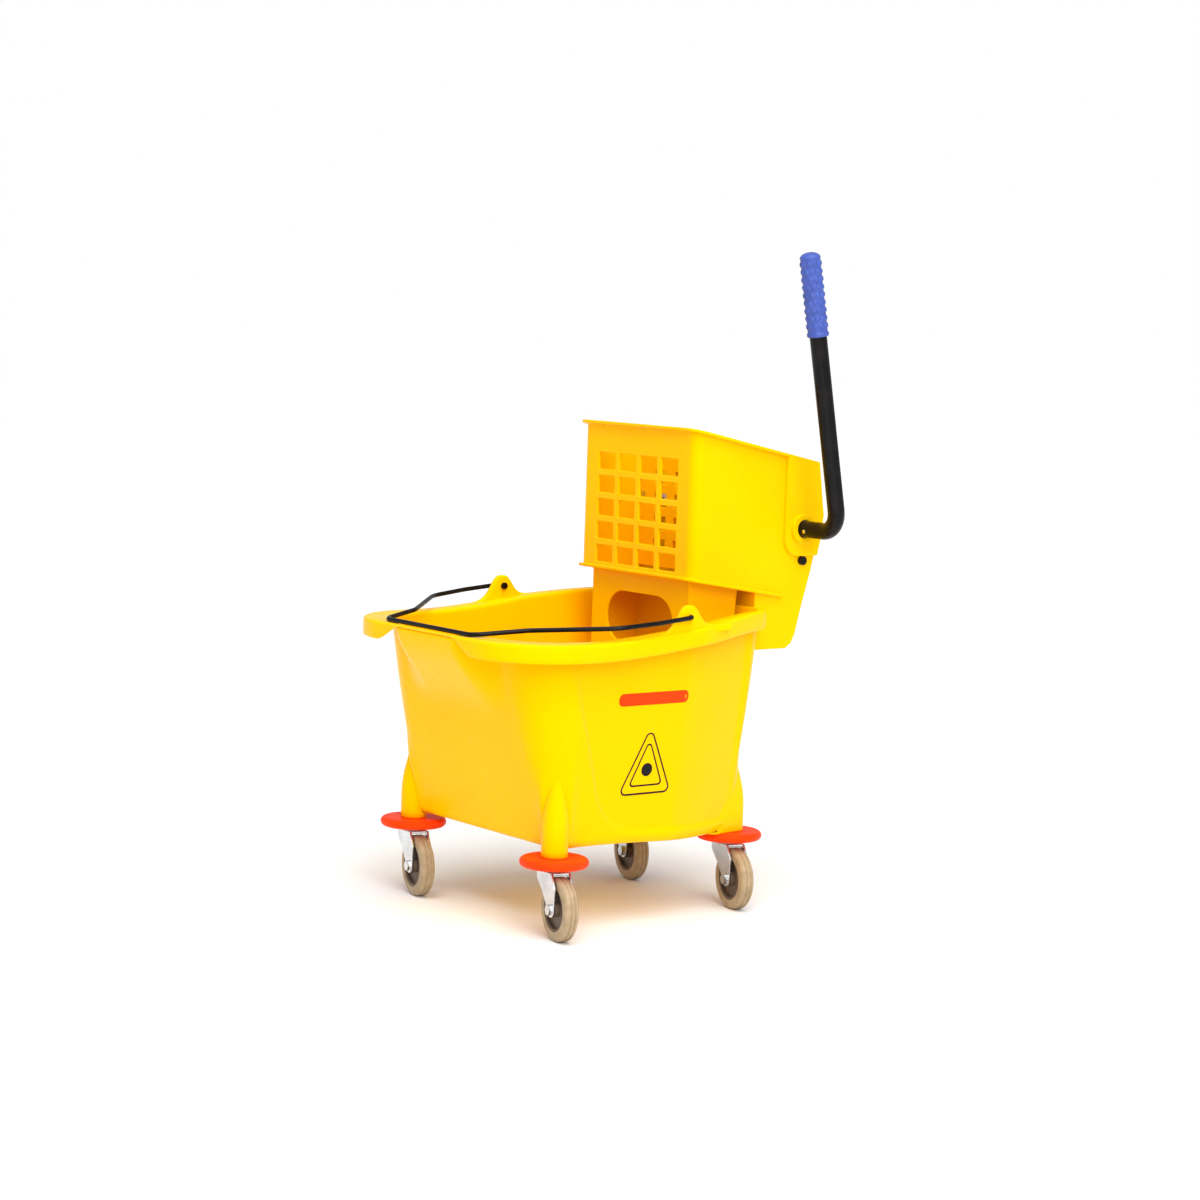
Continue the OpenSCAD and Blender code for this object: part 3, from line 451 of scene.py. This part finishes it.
def filleted(ring):
    """The outside of the wall swells gently where it meets a leg."""
    blend = 16.0
    along = np.roll(ring, -1, axis=0) - np.roll(ring, 1, axis=0)
    length = np.maximum(np.hypot(along[:, 0], along[:, 1]), 1e-6)
    fade = 1 - smooth((ring[:, 2] - LEG_Z - 70) / 50)
    swell = np.zeros(len(ring))
    for centre in CASTERS.values():
        gap = np.abs(np.hypot(ring[:, 0] - centre.x, ring[:, 1] - centre.y) - LEG_R)
        swell += np.clip(blend - gap, 0, None) ** 2 / (4 * blend) * fade
    ring[:, 0] += along[:, 1] / length * swell
    ring[:, 1] -= along[:, 0] / length * swell
    return ring


def foot_rings(inset, turn_in, floor_z):
    """Rings round the foot of the walls, then across the floor to its middle."""
    rings = []
    for k in range(1, 6):
        a = math.pi / 2 * k / 5
        plan = floor_outline(inset + turn_in * (1 - math.cos(a)))
        rings.append(ring3(plan, floor_z + FLOOR_EDGE * (1 - math.sin(a))))
    for share_in in (0.75, 0.4, 0.02):
        rings.append(ring3(rings[-1][:, :2] * share_in, floor_z))
    return rings


def build_bucket():
    rim = rim_outline(0)
    top = rim_height(rim[:, 1])
    share = spout_share(rim)
    rings = []
    # From the lip's lower edge, up its outer face and over the flat of the rim.
    lip_low = top - mix(LIP, SPOUT_LIP, share)
    lip_turn = top - mix(RIM_ROUND, 1.6, share)
    for inset, z in ((1.8, lip_low - 0.3), (0.6, lip_low + 0.4), (0, lip_low + 1.8)):
        rings.append(ring3(rim_outline(inset), z))
    for k in (0.33, 0.66):
        rings.append(ring3(rim, mix(lip_low + 1.8, lip_turn, k)))
    for k in range(5):
        a = math.pi / 2 * k / 4
        rings.append(ring3(rim_outline(RIM_ROUND * (1 - math.cos(a))),
                           lip_turn + (top - lip_turn) * math.sin(a)))
    inner_top = wall_ring(WALL, top)
    flat_edge = mix(inner_top, rim_outline(RIM_ROUND), 0.22)
    rings.append(ring3(flat_edge, rim_height(flat_edge[:, 1])))
    rings.append(ring3(mix(inner_top, rim_outline(RIM_ROUND), 0.06), top - 0.9))
    # Down the inside of the walls, round the foot of them and across the floor.
    inner_floor = FLOOR_Z + WALL
    for k in range(WALL_RINGS + 1):
        z = mix(top - 3.2, inner_floor + FLOOR_EDGE, k / WALL_RINGS)
        rings.append(ring3(wall_ring(WALL, z), z))
    rings += foot_rings(WALL, 10, inner_floor)
    # The underside of the rim, then the outside of the walls down to the floor's edge.
    outer = []
    under = top - WALL
    outer.append(ring3(rim_outline(3.2), lip_low + 0.2))
    outer.append(ring3(mix(rim_outline(3.8), rim_outline(1.6), share[:, None]),
                       mix(under - 2, top - 4, share)))
    outer_top = wall_ring(0, under)
    outer.append(ring3(mix(rim_outline(6), outer_top, share[:, None]), mix(under, under - 3, share)))
    outer.append(ring3(mix(outer_top, rim_outline(6), 0.14 * (1 - share[:, None])),
                       mix(under, under - 4, share)))
    for k in range(WALL_RINGS + 1):
        z = mix(mix(under - 3.5, under - 6, share), FLOOR_Z + FLOOR_EDGE, k / WALL_RINGS)
        outer.append(ring3(wall_ring(0, z), z))
    outer += foot_rings(0, 9, FLOOR_Z)
    rings = [settled(ring) for ring in rings[::-1]] + [settled(filleted(ring)) for ring in outer]
    verts = points_of(rings)
    return make_object("bucket_shell", verts, capped_loft(rings), 50)


def leg_section(corner, radius, flare, steps=48):
    """Round section of a leg; a rear leg's section also reaches forward to the side wall."""
    centre = CASTERS[corner]
    turns = [2 * math.pi * i / steps for i in range(steps)]
    if corner in ("fl", "fr"):
        return [(centre.x + radius * math.cos(a), centre.y + radius * math.sin(a)) for a in turns]
    out = math.copysign(1, centre.x)
    wall_r = 10 * flare
    wall = (out * (FLOOR_REAR_HALF_W - 10.5), centre.y - 36)
    points = []
    for a in turns:
        x, y = math.cos(a), math.sin(a)
        # The support point of the hull of the two circles in this direction.
        leg_far = centre.x * x + centre.y * y + radius
        wall_far = wall[0] * x + wall[1] * y + wall_r
        place, r = ((centre.x, centre.y), radius) if leg_far >= wall_far else (wall, wall_r)
        points.append((place[0] + r * x, place[1] + r * y))
    return points


def outside_tub(section, z):
    """Keeps a leg's skin out of the tub: points in the cavity move out to the middle of the wall."""
    wall = wall_ring(WALL / 2, np.full(len(floor_outline(0)), z)) - (0, MIDDLE_Y)
    bearings = np.arctan2(wall[:, 1], wall[:, 0])
    reaches = np.hypot(wall[:, 0], wall[:, 1])
    kept = []
    for x, y in section:
        y -= MIDDLE_Y
        limit = np.interp(math.atan2(y, x), bearings, reaches, period=2 * math.pi)
        push = max(1.0, float(limit) / math.hypot(x, y))
        kept.append((x * push, MIDDLE_Y + y * push))
    return kept


def build_leg(corner):
    """A leg that tapers away into the corner of the tub."""
    rear = corner in ("rl", "rr")
    widest = LEG_R + REAR_LEG_SWELL if rear else LEG_R
    centre = CASTERS[corner]
    sag = float(floor_sag(centre.y))
    underside = FLOOR_Z - sag
    heights = [LEG_Z + 1.2, underside + 0.4]
    heights += [mix(underside + 1.6, LEG_Z + LEG_TAPER, k / 18) for k in range(19)]
    rings = [[(x, y, LEG_Z) for x, y in leg_section(corner, widest - 1.2, 0.88)]]
    for z in heights:
        fade = float(smooth((z - LEG_Z - 30) / (LEG_TAPER - 30)))
        pull = 0.035 * max(0.0, z - LEG_Z - 50)
        shift_x, shift_y = math.copysign(pull, centre.x), math.copysign(pull, centre.y)
        section = leg_section(corner, mix(widest, 5, fade), 1 - 0.9 * fade)
        section = [(x - shift_x, y - shift_y) for x, y in section]
        if z > underside + 1:
            section = outside_tub(section, z + sag * float(sag_left(z)))
        rings.append([(x, y, z) for x, y in section])
    return make_object("bucket_leg_" + corner, points_of(rings), capped_loft(rings), 50)


def build_ear(s):
    """A hump of the rim that the bail hangs in, rounded along its top."""
    name = "bucket_ear_" + ("right" if s > 0 else "left")
    middle, half_t, edge = s * (HALF_W - 7.5), 4.0, 2.6
    crown, half_length, squareness = EAR_TOP - RIM_Z + 1, 17.5, 3.3
    rings = []
    for k in range(61):
        dy = mix(-56, 62, k / 60)
        y = EAR_Y + dy
        base = float(rim_height(np.array([y]))[0])
        hump = (crown - (base - RIM_Z)) / (1 + (abs(dy) / half_length) ** squareness)
        top = base - 1.6 + hump
        low = base - 9
        one_side = [(half_t * 0.4, top), (half_t * 0.82, top - edge * 0.35),
                    (half_t, top - edge), (half_t, low)]
        profile = [(-x, z) for x, z in one_side[::-1]] + one_side
        rings.append([(middle + x, y, z) for x, z in profile])
    return make_object(name, points_of(rings), capped_loft(rings), 60)


bucket = build_bucket()
stand_for(bucket, "bucket_body", "yellow_plastic", "bucket")
for corner in CORNERS:
    stand_for(build_leg(corner), "bucket_body", "yellow_plastic")
for s in (-1, 1):
    stand_for(build_ear(s), "bucket_body", "yellow_plastic")


# ---------- Plain graphics on the near side ----------

def on_wall(flat_rings, lift=0.25):
    """Lays flat outlines, drawn across (Y, Z), on the +X wall as a thin printed film."""
    tree = BVHTree.FromObject(bucket, bpy.context.evaluated_depsgraph_get())
    layers = []
    for lift_by in (lift, -0.4):
        layer = []
        for y, z in flat_rings:
            hit = tree.ray_cast(Vector((0.5, y * MM, z * MM)), Vector((-1, 0, 0)))[0]
            layer.append((hit.x / MM + lift_by, y, z))
        layers.append(layer)
    return layers


def ride_print(piece, slot):
    """Printed ink takes the finish of the piece that has its colour."""
    return stand_for(piece, "bucket_body", slot)


def print_band(name, outer, inner):
    """A printed line between two matching outlines."""
    top_out, low_out = on_wall(outer)
    top_in, low_in = on_wall(inner)
    rings = [top_out, top_in, low_in, low_out]
    return ride_print(make_object(name, points_of(rings), loft(rings, closed_path=True), 60), "black_wire")


def rounded_polygon(corners, radius, per_corner=8, per_side=12):
    """Outline of a polygon with round corners, as evenly matched points."""
    points = []
    count = len(corners)
    for i in range(count):
        a, b, c = (Vector(corners[(i + k) % count]) for k in (-1, 0, 1))
        into, out = (a - b).normalized(), (c - b).normalized()
        half = into.angle(out) / 2
        cut = radius / math.tan(half)
        centre = b + (into + out).normalized() * (radius / math.sin(half))
        start, end = b + into * cut, b + out * cut
        a0 = math.atan2(start.y - centre.y, start.x - centre.x)
        a1 = math.atan2(end.y - centre.y, end.x - centre.x)
        turn = (a1 - a0 + math.pi) % (2 * math.pi) - math.pi
        for k in range(per_corner + 1):
            angle = a0 + turn * k / per_corner
            points.append((centre.x + radius * math.cos(angle), centre.y + radius * math.sin(angle)))
        following = Vector(corners[(i + 1) % count])
        beyond = Vector(corners[(i + 2) % count])
        half_next = (b - following).angle(beyond - following) / 2
        stop = following + (b - following).normalized() * (radius / math.tan(half_next))
        for k in range(1, per_side):
            points.append(tuple(end.lerp(stop, k / per_side)))
    return points


def triangle(centre, width, height):
    y, z = centre
    return [(y - width / 2, z), (y + width / 2, z), (y, z + height)]


MARK_Y = -40
TRI_LOW = 160
outer_line = rounded_polygon(triangle((MARK_Y, TRI_LOW), 80, 84), 7)
outer_in = rounded_polygon(triangle((MARK_Y, TRI_LOW + 2.2), 80 - 6.4, 84 - 6.7), 5)
print_band("mark_outer_line", outer_line, outer_in)
inner_line = rounded_polygon(triangle((MARK_Y, TRI_LOW + 10), 52, 58), 4.5)
inner_in = rounded_polygon(triangle((MARK_Y, TRI_LOW + 12), 52 - 6, 58 - 6.2), 3)
print_band("mark_inner_line", inner_line, inner_in)


def print_patch(name, points, centre, slot):
    """A filled printed shape, as rings that close on its middle."""
    rings = []
    for share in (1, 0.66, 0.33, 0.02):
        flat = [(mix(centre[0], y, share), mix(centre[1], z, share)) for y, z in points]
        rings.append(on_wall(flat)[0])
    faces = loft(rings)
    faces.append(tuple(range(3 * len(points), 4 * len(points))))
    back = on_wall(points)[1]
    verts = points_of(rings) + list(back)
    base = 4 * len(points)
    count = len(points)
    for i in range(count):
        j = (i + 1) % count
        faces.append((i, j, base + j, base + i))
    faces.append(tuple(range(base, base + count)))
    return ride_print(make_object(name, verts, faces, 60), slot)


BAR_Z = 276
BAR_HALF = (52, 7.5)
bar = rounded_polygon([(MARK_Y + y * BAR_HALF[0], BAR_Z + z * BAR_HALF[1])
                       for y, z in ((-1, -1), (1, -1), (1, 1), (-1, 1))], 6.5, per_side=20)
print_patch("mark_red_bar", bar, (MARK_Y, BAR_Z), "bumper_orange")
DOT_R = 8
DOT_Z = TRI_LOW + 30
dot = [(MARK_Y + DOT_R * math.cos(a), DOT_Z + DOT_R * math.sin(a))
       for a in (2 * math.pi * k / 40 for k in range(40))]
print_patch("mark_dot", dot, (MARK_Y, DOT_Z), "black_wire")


# ---------- Wringer ----------

stand_for(refined("wringer_frame", "wringer_body", 1.1), "wringer", "yellow_plastic", "wringer_frame")
stand_for(refined("rear_cover", "wringer_rear_cover", 0.9, angle=40), "wringer", "yellow_plastic",
          "rear_cover")
stand_for(refined("press_plate", "wringer_press_plate", 1.0), "press", "yellow_plastic", "press_plate")


# ---------- Casters ----------

for corner in CORNERS:
    stand_for(refined("caster_fork_" + corner, "fork_" + corner, 0.5), "swivel_" + corner, "zinc_steel",
              "caster_fork_" + corner)


# ---------- Lever grip ----------

def build_grip():
    """Rubber sleeve with rows of round knobs, each row shifted half a knob from the last."""
    low, high = mm_box("lever_grip")
    lean = math.radians(11)
    axis = Vector((0, -math.sin(lean), math.cos(lean)))
    across = Vector((1, 0, 0))
    away = axis.cross(across)
    length, radius, reach = 101.0, 13.0, 343.0
    cuff, dome = 5, 7                                       # the plain lower cuff and the round end
    knob_start, knob_height, knob_r, knob_edge = 8, 1.25, 3.4, 1.7
    rows, columns, steps, stations = 9, 10, 120, 150
    pitch = 84 / rows
    x = (low.x + high.x) / 2
    base = Vector((x, SHAFT.y, SHAFT.z)) + axis * (reach - length)
    rings = []
    for k in range(stations + 1):
        h = length * k / stations
        ring = []
        for i in range(steps):
            a = 2 * math.pi * i / steps
            row = (h - knob_start) / pitch
            index = math.floor(row)
            knob = 0.0
            if 0 <= index < rows:
                shift = 0.5 if index % 2 else 0.0
                along = row - index - 0.5
                around = (a / (2 * math.pi) * columns + shift) % 1 - 0.5
                far = math.hypot(along * pitch, around * 2 * math.pi * radius / columns)
                knob = knob_height * float(smooth((knob_r - far) / knob_edge))
            r = radius - 0.9 + knob
            if h < cuff:
                r = radius + 0.8 * math.sin(math.pi * h / cuff) - 0.4
            if h > length - dome:
                r = (radius - 0.4) * math.sqrt(max(0.0, 1 - ((h - length + dome) / (dome + 0.4)) ** 2))
            p = base + axis * h + across * (r * math.cos(a)) + away * (r * math.sin(a))
            ring.append(tuple(p))
        rings.append(ring)
    return make_object("grip_sleeve", points_of(rings), capped_loft(rings), 60)


stand_for(build_grip(), "lever", "grip_blue", "lever_grip")


# ---------- Carried-over CAD nodes ----------

for node, piece in frame["nodes"].items():
    finish = MATERIALS[SLOT_OF[node]]
    for slot in piece.material_slots:
        slot.material = finish
    if not piece.material_slots:
        piece.data.materials.append(finish)


# ---------- Floor, light and camera ----------

def build_stage():
    """A wide pale floor, which isn't part of the object."""
    size = 12.0
    mesh = bpy.data.meshes.new("studio_floor")
    corners = [(-size, -size, 0), (size, -size, 0), (size, size, 0), (-size, size, 0)]
    mesh.from_pydata(corners, [], [(0, 1, 2, 3)])
    floor = bpy.data.objects.new("studio_floor", mesh)
    bpy.context.scene.collection.objects.link(floor)
    material, nodes, links, shader = new_material("studio_floor")
    tone = noise(nodes, links, 3, 3)
    links.new(ramp(nodes, links, tone, [(0.3, (0.86, 0.86, 0.86)), (0.7, (0.9, 0.9, 0.9))]),
              shader.inputs["Base Color"])
    shader.inputs["Roughness"].default_value = 0.9
    shader.inputs["Specular IOR Level"].default_value = 0.1
    mesh.materials.append(material)


def soft_light(name, place, target, size, power, colour=(1, 1, 1)):
    data = bpy.data.lights.new(name, "AREA")
    data.shape = "RECTANGLE"
    data.size, data.size_y = size
    data.energy = power
    data.color = colour
    lamp = bpy.data.objects.new(name, data)
    lamp.location = place
    lamp.rotation_euler = (Vector(target) - Vector(place)).to_track_quat("-Z", "Y").to_euler()
    bpy.context.scene.collection.objects.link(lamp)


build_stage()
soft_light("key", (2.6, -0.9, 1.7), (0, 0, 0.35), (1.5, 1.5), 42)
soft_light("front", (-1.4, -2.8, 1.3), (0, 0, 0.3), (1.4, 1.2), 3)

sun_data = bpy.data.lights.new("overhead", "SUN")
sun_data.energy = 2.5
sun_data.angle = math.radians(50)
sun = bpy.data.objects.new("overhead", sun_data)
sun.rotation_euler = (Vector((0, 0, 0)) - Vector((0.35, -0.2, 1))).to_track_quat("-Z", "Y").to_euler()
bpy.context.scene.collection.objects.link(sun)

# The camera sees a white background, while the object is lit by a softer one.
world = bpy.data.worlds.new("studio")
world.use_nodes = True
world_nodes, world_links = world.node_tree.nodes, world.node_tree.links
lit = world_nodes["Background"]
lit.inputs["Color"].default_value = (1.0, 1.0, 1.0, 1)
lit.inputs["Strength"].default_value = 0.55
seen = world_nodes.new("ShaderNodeBackground")
seen.inputs["Color"].default_value = (1.0, 1.0, 1.0, 1)
rays = world_nodes.new("ShaderNodeLightPath")
choose = world_nodes.new("ShaderNodeMixShader")
world_links.new(rays.outputs["Is Camera Ray"], choose.inputs["Fac"])
world_links.new(lit.outputs["Background"], choose.inputs[1])
world_links.new(seen.outputs["Background"], choose.inputs[2])
world_links.new(choose.outputs["Shader"], world_nodes["World Output"].inputs["Surface"])
bpy.context.scene.world = world
bpy.context.scene.view_settings.view_transform = "Standard"
bpy.context.scene.view_settings.look = "None"

# The photograph's view: where the camera stands round the object, its roll and its distance in metres.
AZIMUTH = math.radians(52.456)
ELEVATION = math.radians(5.768)
ROLL = math.radians(1.969)
DISTANCE = 3.4753
AIM = Vector((0.0081, -0.0044, 0.3749))
level = math.cos(ELEVATION)
back = Vector((math.sin(AZIMUTH) * level, -math.cos(AZIMUTH) * level, math.sin(ELEVATION)))
right = Vector((math.cos(AZIMUTH), math.sin(AZIMUTH), 0))
up = back.cross(right)
camera_x = right * math.cos(ROLL) + up * math.sin(ROLL)
camera_y = up * math.cos(ROLL) - right * math.sin(ROLL)
camera_data = bpy.data.cameras.new("camera")
camera_data.sensor_width = 36
camera_data.lens = 85.36
camera = bpy.data.objects.new("camera", camera_data)
turn = Matrix((camera_x, camera_y, back)).transposed().to_4x4()
camera.matrix_world = Matrix.Translation(AIM + back * DISTANCE) @ turn
bpy.context.scene.collection.objects.link(camera)
bpy.context.scene.camera = camera
